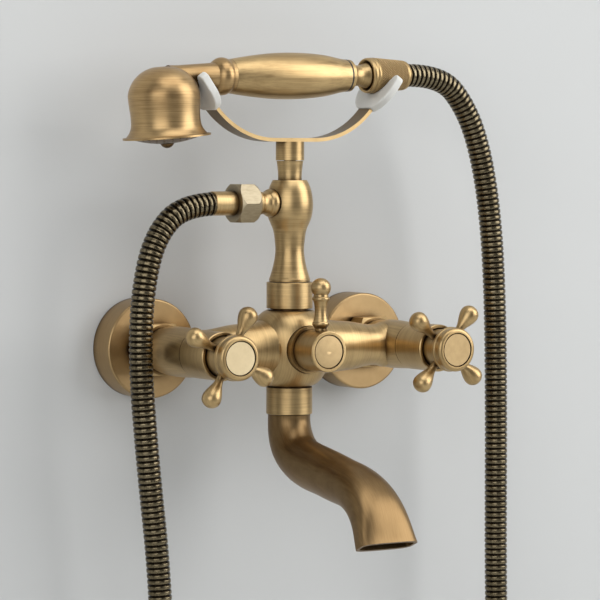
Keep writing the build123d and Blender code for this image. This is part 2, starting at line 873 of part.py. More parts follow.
def cradle_screw():
    top = post_top + strap_thickness
    sink_start = top - cradle_screw_head
    screw = turned(
        (0, top - cradle_screw_length), (cradle_screw_r, top - cradle_screw_length),
        (cradle_screw_r, sink_start), (cradle_screw_head_r, top), (0, top),
    )
    slot_length = (cradle_screw_head_r + overrun) * 2
    slot = Pos(0, 0, top) * Box(slot_length, screw_slot_width, screw_slot_depth)
    return on_riser(screw - slot)


def cradle_liner(slot_r, side):
    """Plastic liner that covers one fork and holds the hand shower."""
    root_half_width = strap_width / 2 + liner_edge
    half_width = fork_half_width(slot_r)
    blank = fork_blank(half_width, liner_start, liner_tip, liner_arm, root_half_width, liner_thickness)
    blank = fillet(blank.edges(), liner_edge) - handset_slot(slot_r + seat_gap, side)
    if side < 0:
        blank = mirror(blank, Plane.YZ)
    return on_riser(blank) - cradle_strap()


# Shower outlet and the wall end of the hose
def shower_outlet():
    """Nipple with a bead at the riser, a concave neck, a rim and a thread for the hose nut."""
    nipple = turned(
        (outlet_bore_r, outlet_seat - outlet_plug), (outlet_plug_r, outlet_seat - outlet_plug),
        (outlet_plug_r, outlet_seat), (outlet_bead_end_r, outlet_seat),
        [(outlet_bead_r, outlet_bead_middle), (outlet_bead_end_r, outlet_bead_end)],
        [(outlet_neck_r, outlet_neck_middle), (outlet_rim_r, outlet_rim_start)],
        (outlet_rim_r, outlet_rim_end), (outlet_thread_r, outlet_thread_start), (outlet_thread_r, outlet_end),
        (outlet_bore_r, outlet_end),
    )
    return towards_left(nipple, outlet_height)


def hose_nut():
    blank = Rot(0, 0, 30) * hex_blank(
        hose_nut_across_flats, hose_nut_start, hose_nut_end, hose_nut_chamfer, hose_nut_drop
    )
    shoulder = washer_end + ferrule_flange + nut_play
    thread = rod(outlet_thread_r + running_gap, hose_nut_start - overrun, shoulder)
    hole = rod(ferrule_wall_r + tail_gap, hose_nut_start, hose_nut_end + overrun)
    return towards_left(blank - thread - hole, outlet_height)


def hose_washer():
    return towards_left(ring(outlet_bore_r, ferrule_flange_r, outlet_end, washer_end), outlet_height)


def ferrule(start, flange_r_here, end):
    """Flanged sleeve that the hose's end is pressed into."""
    return turned(
        (ferrule_bore_r, start), (flange_r_here, start), (flange_r_here, start + ferrule_flange),
        (hose_r, start + ferrule_flange), (hose_r, end - ferrule_edge), (hose_r - ferrule_edge, end),
        (ferrule_bore_r, end),
    )


def hose_ferrule():
    """Flanged sleeve that reaches over the hose's plain first stretch."""
    collar = washer_end + ferrule_flange
    sleeve = turned(
        (ferrule_bore_r, washer_end), (ferrule_flange_r, washer_end), (ferrule_flange_r, collar),
        (ferrule_wall_r, collar), (ferrule_wall_r, ferrule_end - ferrule_edge),
        (ferrule_wall_r - ferrule_edge, ferrule_end), (hose_valley_r + running_gap, ferrule_end),
        (hose_valley_r + running_gap, wall_end), (ferrule_bore_r, wall_end),
    )
    return towards_left(sleeve, outlet_height)


# Hose
# Route of the hose as (x, z) from the mixer's axis, from the wall end to the hand shower.
hose_route = [
    (-wall_end, outlet_height),
    (-72.0, outlet_height),
    (-91.5, 68.6),
    (-100.1, 38.9),
    (-102.4, -1.9),
    (-97.4, -60.2),
    (-88.0, -137.0),
    (-85.4, -236.0),
    (-82.6, -327.0),
    (-81.0, -418.9),
    (-11.9, -488.0),
    (86.5, -488.0),
    (155.6, -418.9),
    (156.0, -322.0),
    (155.0, -225.0),
    (152.8, -138.0),
    (152.6, -48.0),
    (151.3, 24.0),
    (147.4, 76.0),
    (139.6, 116.0),
    (128.0, 143.6),
    (hose_last_corner, handset_height + hose_last_corner * tan(radians(handset_tilt))),
    (handset_end * cos(radians(handset_tilt)), handset_height + handset_end * sin(radians(handset_tilt))),
]


def corner_radii(points):
    """Largest tangent arc at each corner, from its shorter run and its turn."""
    radii = []
    for before, corner, after in zip(points, points[1:], points[2:]):
        turn = radians((corner - before).get_angle(after - corner))
        shorter = min((corner - before).length, (after - corner).length)
        radii.append(corner_share * shorter / tan(turn / 2))
    return radii


def hose_path():
    points = [Vector(x, -riser_depth, z) for x, z in hose_route]
    radii = corner_radii(points)
    print("hose runs:", [round((b - a).length, 1) for a, b in zip(points, points[1:])])
    print("hose radii:", [round(radius, 1) for radius in radii])
    return FilletPolyline(*points, radius=radii).wire()


def hose_circle(path, place, radius):
    """Circle square to the hose at a share of its length, always started on the same side."""
    plane = Plane(origin=path @ place, x_dir=(0, 1, 0), z_dir=path % place)
    return Wire.make_circle(radius, plane)


def hose():
    """Ribbed metal hose with its bore; each rib is lofted through four circles."""
    path = hose_path()
    plain = (ferrule_end - wall_end) / path.length
    outer = [hose_circle(path, 0, hose_valley_r)]
    inner = [hose_circle(path, 0, hose_bore_r)]
    radii = (hose_valley_r, hose_r, hose_r, hose_valley_r)
    for index in range(hose_ribs):
        for share, radius in zip(rib_shares, radii):
            outer.append(hose_circle(path, plain + (1 - plain) * (index + share) / hose_ribs, radius))
        inner.append(hose_circle(path, (index + 1) / hose_ribs, hose_bore_r))
    outer.append(hose_circle(path, 1, hose_valley_r))
    tube = Solid.make_loft(outer, ruled=True) - Solid.make_loft(inner, ruled=True)
    whole = pi * (hose_r**2 - hose_bore_r**2) * path.length
    print(f"hose length {path.length:.1f}, volume {tube.volume:.0f}, crest section x length {whole:.0f}")
    return tube


# Spout
def spout_path():
    """The spout's middle line in its own side view: down, out from the wall and down again."""
    start = (riser_depth, -spout_top)
    drop = Line(start, (riser_depth, -spout_top - spout_drop))
    bend = JernArc(drop @ 1, (0, -1), spout_bend_r, spout_bend_angle)
    run = Line(bend @ 1, (bend @ 1) + (bend % 1) * spout_run)
    curl = JernArc(run @ 1, run % 1, spout_curl_r, -spout_curl_angle)
    lip = Line(curl @ 1, (curl @ 1) + (curl % 1) * spout_lip)
    flat = Wire([edge for piece in (drop, bend, run, curl, lip) for edge in piece.edges()])
    side_view = Plane(origin=(0, 0, 0), x_dir=(0, -1, 0), z_dir=(-1, 0, 0))
    return side_view * flat


def spout_section(path, place, half_width, half_depth, squareness):
    """Rounded section square to the spout: a circle at squareness two, boxier above it."""
    points = []
    power = 2 / squareness
    for index in range(section_points):
        turn = 2 * pi * index / section_points
        across = abs(cos(turn)) ** power * (1 if cos(turn) > 0 else -1)
        deep = abs(sin(turn)) ** power * (1 if sin(turn) > 0 else -1)
        points.append((half_width * across, half_depth * deep))
    plane = Plane(origin=path @ place, x_dir=(1, 0, 0), z_dir=path % place)
    return plane * make_face(Spline(*points, periodic=True))


def spout_loft(path, inset):
    """Solid through the spout's sections, drawn in by the inset."""
    sections = []
    for place, wide, deep, squareness in spout_section_shares:
        half_width = spout_mouth_half_width * wide - inset
        half_depth = spout_mouth_half_depth * deep - inset
        sections.append(spout_section(path, place, half_width, half_depth, squareness))
    return loft(sections)


def spout():
    path = spout_path()
    tail = on_riser(rod(spout_tail_r, -spout_top, -spout_tail_end))
    for place in spout_groove_places:
        tail -= on_riser(ring(spout_groove_r, spout_tail_r + overrun, -place - spout_groove, -place))
    clip_low = -spout_clip_place - clip_thickness - running_gap
    tail -= on_riser(ring(clip_groove_r, spout_tail_r + overrun, clip_low, -spout_clip_place + running_gap))
    roof = on_riser(rod(spout_start_r + overrun, -spout_top - spout_roof, -spout_top + overrun))
    body = spout_loft(path, 0) - (spout_loft(path, spout_wall) - roof) + tail
    mouth = path @ 1
    below = Plane(origin=mouth, z_dir=path % 1) * Box(
        (spout_mouth_half_width + overrun) * 2, (spout_mouth_half_depth + overrun) * 2, overrun * 2,
        align=(Align.CENTER, Align.CENTER, Align.MIN),
    )
    bore = on_riser(rod(spout_bore_r, -spout_top - spout_roof - overrun, -spout_tail_end + overrun))
    return body - bore - below


def spout_o_rings():
    middle_r = (spout_groove_r + spout_tail_r) / 2 + running_gap
    section = spout_tail_r - spout_groove_r
    heights = [-place - spout_groove / 2 for place in spout_groove_places]
    return group([on_riser(o_ring(middle_r, height, section)) for height in heights])


def spout_clip():
    low = -spout_clip_place - clip_thickness
    clip = ring(clip_groove_r + running_gap, clip_r, low, low + clip_thickness)
    slit = Pos(clip_r, 0, low) * Box(clip_r * 2, clip_slit, (clip_thickness + overrun) * 2)
    return on_riser(clip - slit)


def spout_collar():
    """Collar nut under the body; its shoulder carries the spout's clip."""
    shoulder = spout_clip_place + clip_thickness + running_gap
    collar = turned(
        (stub_r + collar_thread_gap, -spout_collar_top), (collar_r - collar_edge, -spout_collar_top),
        (collar_r, -spout_collar_top - collar_edge), (collar_r, -spout_collar_bottom + collar_edge),
        (collar_r - collar_edge, -spout_collar_bottom), (spout_tail_r + running_gap, -spout_collar_bottom),
        (spout_tail_r + running_gap, -shoulder), (stub_r + collar_thread_gap, -shoulder),
    )
    return on_riser(collar)


# Hand shower
def bell_frame(solid):
    """Move a solid made about Z below its own top to the bell's place, spray side down."""
    tilt = radians(handset_tilt)
    place = Pos(-bell_place * cos(tilt), -riser_depth, handset_height - bell_place * sin(tilt))
    return place * Rot(0, -bell_tilt, 0) * Pos(0, 0, bell_top) * solid


def bell_outline(inset):
    """Outer places of the bell from its top down, drawn in by the inset."""
    middle = radians(45)
    dome_r = bell_r - inset
    dome = [(dome_r * sin(middle), -bell_dome + (bell_dome - inset) * cos(middle)), (dome_r, -bell_dome)]
    flare = [(bell_rim_r * across - inset, -bell_height * along) for along, across in bell_flare_shares]
    return dome, [*flare, (bell_rim_r - inset, -bell_height + bell_rim)]


def handset_head():
    """Bell, neck and bead of the hand shower, hollow, with the post that takes the plate's screw."""
    low = -bell_height - overrun
    dome, flare = bell_outline(0)
    bell = turned((0, 0), dome, flare, (bell_rim_r, -bell_height), (0, -bell_height))
    inner_dome, inner_flare = bell_outline(bell_wall)
    ledge = inner_flare[:-2]
    hollow = turned((0, -bell_wall), inner_dome, ledge, (ledge[-1][0], low), (0, low))
    plate_back = plate_recess + plate_thickness - bell_height
    bead_end = head_bead_start - head_bead
    neck_start = -bell_place + bell_wall * 2
    neck = turned(
        (0, neck_start), (head_neck_narrow_r, neck_start), (head_neck_narrow_r, bell_r / 2 - bell_place),
        (head_neck_r, -head_bead_start),
        [(head_bead_r, -head_bead_start + head_bead / 2), (collar_end_r, -bead_end)],
        (collar_end_r, -grip_left), (spigot_r, -grip_left), (spigot_r, spigot_length - grip_left),
        (0, spigot_length - grip_left),
    )
    head = bell_frame(bell) + along_handset(neck)
    head = head - bell_frame(hollow) + bell_frame(rod(bell_post_r, plate_back, -bell_wall / 2))
    head -= along_handset(rod(handset_bore_r, bell_r / 2 - bell_place, overrun))
    head -= bell_frame(rod(plate_r + running_gap, low, plate_back))
    return head - bell_frame(rod(plate_screw_r + running_gap, low, plate_back + bell_dome))


def spray_plate():
    """Domed plate with rings of spray holes."""
    edge = plate_recess - bell_height
    outer = ball_cap(plate_r, edge, edge - plate_bulge)
    inner = ball_cap(plate_r, edge + plate_thickness, edge + plate_thickness - plate_bulge)
    plate = turned(inner[1], outer[1], [outer[0], (plate_r, edge)], (plate_r, edge + plate_thickness), inner)
    low = edge - bell_r
    high = edge + bell_r
    plate -= rod(plate_screw_r + running_gap, low, high)
    drill = rod(plate_hole_r, low, high)
    for radius, count in plate_hole_rings:
        plate -= [Rot(0, 0, 360 * index / count) * Pos(radius, 0, 0) * drill for index in range(count)]
    return bell_frame(plate)


def spray_screw():
    """Screw with a round head under the middle of the spray plate."""
    seat = plate_recess - plate_bulge - bell_height
    low = seat - plate_screw_head
    top = plate_recess + plate_thickness - bell_height + bell_dome - seat_gap
    screw = turned(
        (0, top), (plate_screw_r, top), (plate_screw_r, seat), (plate_screw_head_r, seat),
        ball_cap(plate_screw_head_r, seat, low),
    )
    return bell_frame(screw)


def handset_grip():
    length = grip_left + grip_right
    curve = scaled(grip_shares, length, grip_r, -grip_left)
    grip = turned((grip_bore_r, -grip_left), curve[0], curve[1:], (grip_bore_r, grip_right))
    return along_handset(grip)


def black_ring():
    return along_handset(ring(grip_bore_r, grip_ring_r, grip_right, grip_right + grip_ring))


def handset_tail():
    """End ring, concave neck and thread of the hand shower."""
    start = grip_right + grip_ring
    ring_end = start + end_ring
    tail = turned(
        (handset_bore_r, grip_right - spigot_length), (spigot_r, grip_right - spigot_length),
        (spigot_r, start), (end_ring_r, start), (end_ring_r, ring_end - end_ring_edge),
        (end_ring_r - end_ring_edge, ring_end),
        (end_neck_r, ring_end), [(end_neck_narrow_r, end_neck_middle), (end_neck_r, tail_nut_start)],
        (end_neck_r, tail_thread_start), (tail_thread_r, tail_thread_start), (tail_thread_r, tail_end),
        (handset_bore_r, tail_end),
    )
    return along_handset(tail)


def tail_nut():
    """Conical nut on the hose's end."""
    length = tail_nut_end - tail_nut_start
    lead = scaled(tail_nut_shares, length, tail_nut_r, tail_nut_start)
    taper = scaled(tail_nut_taper_shares, length, tail_nut_r, tail_nut_start)
    bore_r = tail_thread_r + running_gap
    shoulder = tail_washer_end + ferrule_flange + nut_play
    nut = turned(
        (tail_mouth_r, tail_nut_start), lead[0], lead[1:3], lead[3], taper[0], taper[1:],
        (hose_r + tail_gap, tail_nut_end), (hose_r + tail_gap, shoulder), (bore_r, shoulder),
        (bore_r, tail_mouth_end),
    )
    return along_handset(nut)


def tail_washer():
    return along_handset(ring(handset_bore_r, tail_flange_r, tail_end, tail_washer_end))


def tail_ferrule():
    return along_handset(ferrule(tail_washer_end, tail_flange_r, handset_end))


def save_wall_pieces():
    save(mixer_body(), "mixer_body")
    for side, name in ((-inlet_x, "left"), (inlet_x, "right")):
        save(out_from_wall(wall_flange(), side), f"wall_flange_{name}")
        save(out_from_wall(inlet_union(), side), f"inlet_union_{name}")
        save(out_from_wall(union_nut(), side), f"union_nut_{name}")
        save(out_from_wall(headwork(), side), f"headwork_{name}")
        save(out_from_wall(valve_sleeve(), side), f"valve_sleeve_{name}")
    save(group([out_from_wall(inlet_washer(), side) for side in (-inlet_x, inlet_x)]), "inlet_washers")
    stations = (-inlet_x, 0, inlet_x)
    save(group([out_from_wall(seat_seal(), x) for x in stations]), "seat_seals")
    save(group([out_from_wall(ceramic_disc(disc_start), x) for x in stations]), "fixed_discs")
    ring_r = spindle_r + running_gap + o_ring_section / 2
    rings = [out_from_wall(o_ring(ring_r, o_ring_place, o_ring_section), x) for x in (-inlet_x, inlet_x)]
    save(group(rings), "spindle_o_rings")


def save_handles():
    for side, name, angle in ((-inlet_x, "left", left_arm_angle), (inlet_x, "right", right_arm_angle)):
        seat = spindle_end + seat_gap + cap_gap + overrun
        save(out_from_wall(cross_handle(angle), side), f"cross_handle_{name}")
        save(out_from_wall(handle_cap(), side), f"handle_cap_{name}")
        save(out_from_wall(cap_screw(seat), side), f"handle_screw_{name}")
        save(out_from_wall(spindle(spindle_end), side), f"spindle_{name}")
        save(out_from_wall(ceramic_disc(moving_start), side), f"moving_disc_{name}")


def save_diverter():
    save(out_from_wall(diverter_bonnet()), "diverter_bonnet")
    save(out_from_wall(diverter_knob()), "diverter_knob")
    save(out_from_wall(diverter_cap()), "diverter_cap")
    save(Pos(0, -lever_depth, 0) * diverter_lever(), "diverter_lever")
    save(out_from_wall(spindle(diverter_spindle_end)), "diverter_spindle")
    save(out_from_wall(ceramic_disc(moving_start)), "diverter_disc")
    save(out_from_wall(cap_screw(diverter_spindle_end + diverter_web)), "diverter_screw")


def save_riser_and_cradle():
    save(riser_collar(), "riser_collar")
    save(riser_clip(), "riser_clip")
    save(riser_washer(), "riser_washer")
    save(riser_column(), "riser_column")
    save(riser_neck(), "riser_neck")
    save(cradle_post(), "cradle_post")
    save(cradle_strap(), "cradle_strap")
    save(cradle_screw(), "cradle_screw")
    save(cradle_liner(head_neck_r, -1), "cradle_liner_left")
    save(cradle_liner(tail_nut_r, 1), "cradle_liner_right")


def save_hose():
    save(shower_outlet(), "shower_outlet")
    save(hose_nut(), "hose_nut")
    save(hose_washer(), "hose_washer")
    save(hose_ferrule(), "hose_ferrule")
    save(hose(), "hose")


def save_spout():
    save(spout_collar(), "spout_collar")
    save(spout(), "spout")
    save(spout_o_rings(), "spout_o_rings")
    save(spout_clip(), "spout_clip")


def save_handset():
    save(handset_head(), "handset_head")
    save(spray_plate(), "spray_plate")
    save(spray_screw(), "spray_screw")
    save(handset_grip(), "handset_grip")
    save(black_ring(), "grip_ring")
    save(handset_tail(), "handset_tail")
    save(tail_nut(), "tail_nut")
    save(tail_washer(), "tail_washer")
    save(tail_ferrule(), "tail_ferrule")


os.makedirs("parts", exist_ok=True)
save_wall_pieces()
save_handles()
save_diverter()
save_riser_and_cradle()
save_spout()
save_handset()
save_hose()
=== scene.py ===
import math

import bpy
from mathutils import Matrix, Vector


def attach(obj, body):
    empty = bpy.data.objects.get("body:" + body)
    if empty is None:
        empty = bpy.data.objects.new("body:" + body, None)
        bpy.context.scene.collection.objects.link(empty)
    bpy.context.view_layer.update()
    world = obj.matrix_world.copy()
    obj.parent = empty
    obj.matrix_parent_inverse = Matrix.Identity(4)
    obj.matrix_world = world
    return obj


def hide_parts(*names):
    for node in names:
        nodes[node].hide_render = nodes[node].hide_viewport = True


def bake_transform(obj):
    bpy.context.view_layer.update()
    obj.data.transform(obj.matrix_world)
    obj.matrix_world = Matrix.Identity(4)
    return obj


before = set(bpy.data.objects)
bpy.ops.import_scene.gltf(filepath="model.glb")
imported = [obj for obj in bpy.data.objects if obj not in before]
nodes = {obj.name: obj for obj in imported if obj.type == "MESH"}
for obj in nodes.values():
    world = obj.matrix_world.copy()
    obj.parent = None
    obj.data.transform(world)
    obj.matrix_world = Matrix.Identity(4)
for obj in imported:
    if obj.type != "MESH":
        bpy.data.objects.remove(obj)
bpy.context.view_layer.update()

# Places in metres, in the mixer's own frame: X along the wall, Y into the wall, Z up.
RISER_Y = -0.0513
OUTLET_Z = 0.0940
HANDSET_Z = 0.16903
HANDSET_TILT = math.radians(1.1)

# The hose hangs from the outlet at the riser's left to the hand shower's tail.
HOSE_ROUTE = [
    (-0.0465, OUTLET_Z),
    (-0.0720, OUTLET_Z),
    (-0.0915, 0.0766),
    (-0.1001, 0.0469),
    (-0.1024, 0.0061),
    (-0.0974, -0.0522),
    (-0.0880, -0.1290),
    (-0.0854, -0.2280),
    (-0.0826, -0.3190),
    (-0.0810, -0.4109),
    (-0.0119, -0.4800),
    (0.0865, -0.4800),
    (0.1556, -0.4109),
    (0.1560, -0.3140),
    (0.1550, -0.2170),
    (0.1528, -0.1300),
    (0.1526, -0.0400),
    (0.1513, 0.0320),
    (0.1474, 0.0840),
    (0.1396, 0.1240),
    (0.1280, 0.1516),
    (0.1090, 0.17112),
    (0.08348, 0.17063),
]
HOSE_LENGTH = 1.432
HOSE_PLAIN = 0.0082
HOSE_RADIUS = 0.0070
HOSE_VALLEY = 0.0060
HOSE_SIDES = 20
ROUTE_STEPS = 24
ROUTE_ORDER = 3
WINDING_PITCH = 0.0033
WINDING_STEPS = 8
GAP_SHARPNESS = 4.4

# The photo's camera: places in metres, lens and sensor in millimetres.
CAMERA_PLACE = (-0.9945, -1.6073, 0.1277)
CAMERA_TARGET = (0.0018, -0.0600, 0.0367)
CAMERA_ROLL = math.radians(0.18)
CAMERA_LENS = 186.9
CAMERA_SENSOR = 36.0
CAMERA_REACH = 20.0


def looking(place, target):
    """Placing matrix of a camera or lamp that looks from one place at another."""
    turn = (Vector(target) - Vector(place)).to_track_quat("-Z", "Y")
    return Matrix.Translation(place) @ turn.to_matrix().to_4x4()


def camera_like_photo():
    """Long lens, seen from the left and a little above the mixer."""
    data = bpy.data.cameras.new("camera")
    data.sensor_fit = "HORIZONTAL"
    data.sensor_width = CAMERA_SENSOR
    data.lens = CAMERA_LENS
    camera = bpy.data.objects.new("camera", data)
    bpy.context.scene.collection.objects.link(camera)
    camera.matrix_world = looking(CAMERA_PLACE, CAMERA_TARGET) @ Matrix.Rotation(CAMERA_ROLL, 4, "Z")
    data.clip_end = CAMERA_REACH
    bpy.context.scene.camera = camera


camera_like_photo()


# ---- small tools for materials ----
NOISE_SPAN = (0.3, 0.7)
CREVICE_SAMPLES = 8
MIX_SOCKETS = (0, 6, 7)
MIX_RESULT = 2


class Shades:
    """One node material, built up by short calls."""

    def __init__(self, name):
        self.material = bpy.data.materials.new(name)
        self.material.use_nodes = True
        self.tree = self.material.node_tree
        self.shader = self.tree.nodes["Principled BSDF"]

    def add(self, kind, **settings):
        node = self.tree.nodes.new(kind)
        for key, value in settings.items():
            setattr(node, key, value)
        return node

    def link(self, out, socket):
        self.tree.links.new(out, socket)

    def place(self, scale):
        """Object coordinates stretched by a scale of three numbers."""
        coordinates = self.add("ShaderNodeTexCoord")
        mapping = self.add("ShaderNodeMapping")
        mapping.inputs["Scale"].default_value = scale
        self.link(coordinates.outputs["Object"], mapping.inputs["Vector"])
        return mapping.outputs["Vector"]

    def noise(self, scale, detail=2.0, roughness=0.5):
        """Noise in object coordinates; scale is how often it changes along X, Y and Z."""
        node = self.add("ShaderNodeTexNoise")
        node.inputs["Scale"].default_value = 1.0
        node.inputs["Detail"].default_value = detail
        node.inputs["Roughness"].default_value = roughness
        self.link(self.place(scale), node.inputs["Vector"])
        return node.outputs["Fac"]

    def span(self, value, low, high, to_low=0.0, to_high=1.0):
        """A value's stretch from low to high, mapped to another stretch."""
        node = self.add("ShaderNodeMapRange")
        node.inputs["From Min"].default_value = low
        node.inputs["From Max"].default_value = high
        node.inputs["To Min"].default_value = to_low
        node.inputs["To Max"].default_value = to_high
        self.link(value, node.inputs["Value"])
        return node.outputs["Result"]

    def math(self, operation, *values):
        node = self.add("ShaderNodeMath", operation=operation)
        for index, value in enumerate(values):
            if isinstance(value, (int, float)):
                node.inputs[index].default_value = value
            else:
                self.link(value, node.inputs[index])
        return node.outputs["Value"]

    def mix(self, factor, first, second):
        """Colour between two others, each a colour or a node's output."""
        node = self.add("ShaderNodeMix", data_type="RGBA")
        for index, value in zip(MIX_SOCKETS, (factor, first, second)):
            socket = node.inputs[index]
            if isinstance(value, tuple):
                socket.default_value = (*value, 1.0)
            else:
                self.link(value, socket)
        return node.outputs[MIX_RESULT]

    def crevice(self, distance):
        """One in the open, falling to nought deep in a crevice."""
        node = self.add("ShaderNodeAmbientOcclusion")
        node.samples = CREVICE_SAMPLES
        node.inputs["Distance"].default_value = distance
        return node.outputs["AO"]

    def bump(self, height, strength, distance):
        """Fine relief that only tilts the surface."""
        node = self.add("ShaderNodeBump")
        node.inputs["Strength"].default_value = strength
        node.inputs["Distance"].default_value = distance
        self.link(height, node.inputs["Height"])
        self.link(node.outputs["Normal"], self.shader.inputs["Normal"])

    def base(self, value):
        self.link(value, self.shader.inputs["Base Color"])

    def rough(self, value):
        self.link(value, self.shader.inputs["Roughness"])


BRASS_BRIGHT = (0.590, 0.420, 0.205)
BRASS_MID = (0.390, 0.265, 0.122)
# Painted shade: the dark brown that crevices are pulled toward.
BRASS_CREVICE_SHADE = (0.082, 0.045, 0.018)
STROKE_DETAIL = 3.0
STROKE_GRAIN = 0.65
STROKE_SHARE = 0.55
STROKE_RELIEF = (0.10, 0.00004)
CLOUD_SCALE = (38.0, 38.0, 38.0)
TONE_SPAN = (0.37, 0.63)
CREVICE_REACH = 0.006
CREVICE_SPAN = (0.45, 0.95)
BRASS_ROUGHNESS = 0.35
SMOOTHER = 0.04
ROUGHER = 0.06


def brushed_brass(
    name, stroke, bright=BRASS_BRIGHT, mid=BRASS_MID, crevice_shade=BRASS_CREVICE_SHADE, roughness=BRASS_ROUGHNESS
):
    """Antique brass with fine brush strokes and painted shade in its crevices; stroke is the scale of the
    strokes along X, Y and Z.
    """
    brass = Shades(name)
    strokes = brass.noise(stroke, detail=STROKE_DETAIL, roughness=STROKE_GRAIN)
    cloudy = brass.noise(CLOUD_SCALE, detail=STROKE_DETAIL)
    share = brass.math("MULTIPLY", strokes, STROKE_SHARE)
    tone = brass.math("ADD", share, brass.math("MULTIPLY", cloudy, 1.0 - STROKE_SHARE))
    metal = brass.mix(brass.span(tone, *TONE_SPAN), mid, bright)
    # Painted shade: the colour falls toward a dark brown deep in crevices, where shade falls.
    crevice = brass.crevice(CREVICE_REACH)
    brass.base(brass.mix(brass.span(crevice, *CREVICE_SPAN), crevice_shade, metal))
    brass.rough(brass.span(strokes, *NOISE_SPAN, roughness - SMOOTHER, roughness + ROUGHER))
    brass.bump(strokes, *STROKE_RELIEF)
    brass.shader.inputs["Metallic"].default_value = 1.0
    return brass.material


around_z = brushed_brass("antique_brass_turned_upright", (40.0, 40.0, 1700.0))
around_x = brushed_brass("antique_brass_turned_sideways", (1700.0, 40.0, 40.0))
along_x = brushed_brass("antique_brass_brushed_lengthwise", (32.0, 900.0, 900.0))
around_y = brushed_brass("antique_brass_turned_outward", (40.0, 1700.0, 40.0))
# Painted shade: the flanges get a darker copy of the brass, standing in for the dark that their flat faces
# reflect.
flange_painted_shade = brushed_brass(
    "brass_flange_painted_shade", (60.0, 2600.0, 60.0), bright=(0.490, 0.335, 0.165), mid=(0.375, 0.250, 0.118)
)
# Painted shade: the spout gets a much darker copy of the brass, standing in for the dark that its faces
# reflect.
spout_painted_shade = brushed_brass(
    "brass_spout_painted_shade", (1500.0, 90.0, 90.0), bright=(0.265, 0.172, 0.080), mid=(0.185, 0.115, 0.050),
    roughness=0.38,
)
# A slightly darker copy of the brass for the bell.
darker_bell = brushed_brass(
    "darker_brass_bell", (40.0, 40.0, 1900.0), bright=(0.560, 0.385, 0.185), mid=(0.335, 0.212, 0.096)
)
# A much darker copy of the brass for the spray plate and its screw.
darker_plate = brushed_brass(
    "darker_brass_plate", (700.0, 700.0, 700.0), bright=(0.200, 0.128, 0.062), mid=(0.120, 0.074, 0.034)
)
# Painted highlight: the left handle's cap gets a paler, lit copy of the cap finish below.
caps_painted_lit = brushed_brass(
    "brass_caps_painted_lit", (160.0, 160.0, 160.0), bright=(0.800, 0.665, 0.430), mid=(0.700, 0.570, 0.355),
    roughness=0.52,
)
spun_caps = brushed_brass(
    "spun_brass_caps", (160.0, 160.0, 160.0), bright=(0.600, 0.440, 0.235), mid=(0.460, 0.325, 0.165),
    roughness=0.50,
)
# A greyer, paler copy of the brass for the hex nut on the hose.
greyer_nut = brushed_brass(
    "greyer_brass_nut", (240.0, 1800.0, 240.0), bright=(0.460, 0.390, 0.265), mid=(0.310, 0.255, 0.165),
    crevice_shade=(0.070, 0.045, 0.025), roughness=0.40,
)
plain_brass = brushed_brass(
    "machined_brass", (80.0, 2200.0, 80.0), bright=(0.780, 0.620, 0.340), mid=(0.660, 0.500, 0.250),
    crevice_shade=(0.200, 0.130, 0.060), roughness=0.26,
)


STRAP_STROKES = (60.0, 2000.0, 60.0)
STRAP_FACE_SHADE = (0.175, 0.120, 0.060)
STRAP_EDGE_SPAN = (0.25, 0.6)
STRAP_ROUGHNESS = (0.30, 0.40)


def strap_metal():
    """Strap with bright edges between its two flat faces, which carry painted shade in a dark brown."""
    strap = Shades("antique_brass_strap")
    strokes = strap.noise(STRAP_STROKES, detail=STROKE_DETAIL)
    metal = strap.mix(strap.span(strokes, *NOISE_SPAN), BRASS_MID, BRASS_BRIGHT)
    split = strap.add("ShaderNodeSeparateXYZ")
    strap.link(strap.add("ShaderNodeTexCoord").outputs["Normal"], split.inputs["Vector"])
    edge = strap.span(strap.math("ABSOLUTE", split.outputs["Y"]), *STRAP_EDGE_SPAN)
    # Painted shade: dark brown on the flat faces, where the normal turns away from Y.
    strap.base(strap.mix(edge, STRAP_FACE_SHADE, metal))
    strap.rough(strap.span(strokes, *NOISE_SPAN, *STRAP_ROUGHNESS))
    strap.bump(strokes, *STROKE_RELIEF)
    strap.shader.inputs["Metallic"].default_value = 1.0
    return strap.material


HOSE_RUB = (900.0, 900.0, 900.0)
HOSE_CLOUD = (60.0, 60.0, 60.0)
HOSE_TONE_SPAN = (0.38, 0.64)
HOSE_MID = (0.140, 0.112, 0.066)
HOSE_BRIGHT = (0.250, 0.205, 0.128)
HOSE_GAP_SPAN = (0.03, 0.16)
HOSE_GAP_PAINTED_SHADE = (0.010, 0.007, 0.004)
HOSE_ROUGHNESS = (0.22, 0.32)


def hose_metal():
    """Dark brass windings with painted shade, near black, in the gaps between them, driven by the gap
    attribute of the tube.
    """
    hose = Shades("hose_windings")
    gap = hose.add("ShaderNodeAttribute", attribute_name="gap").outputs["Fac"]
    rub = hose.noise(HOSE_RUB)
    cloudy = hose.noise(HOSE_CLOUD)
    tone = hose.math("ADD", hose.math("MULTIPLY", rub, 0.5), hose.math("MULTIPLY", cloudy, 0.5))
    metal = hose.mix(hose.span(tone, *HOSE_TONE_SPAN), HOSE_MID, HOSE_BRIGHT)
    # Painted shade: near black in the gaps between the windings.
    hose.base(hose.mix(hose.span(gap, *HOSE_GAP_SPAN), metal, HOSE_GAP_PAINTED_SHADE))
    hose.rough(hose.span(rub, *NOISE_SPAN, *HOSE_ROUGHNESS))
    hose.shader.inputs["Metallic"].default_value = 1.0
    return hose.material


KNURL_STROKES = (2600.0, 60.0, 60.0)
KNURL_TONE_SPAN = (0.34, 0.66)
KNURL_VALLEY_SHADE = (0.170, 0.110, 0.055)
KNURL_VALLEY_SPAN = (0.20, 0.95)
KNURL_ROUGHNESS = (0.34, 0.44)


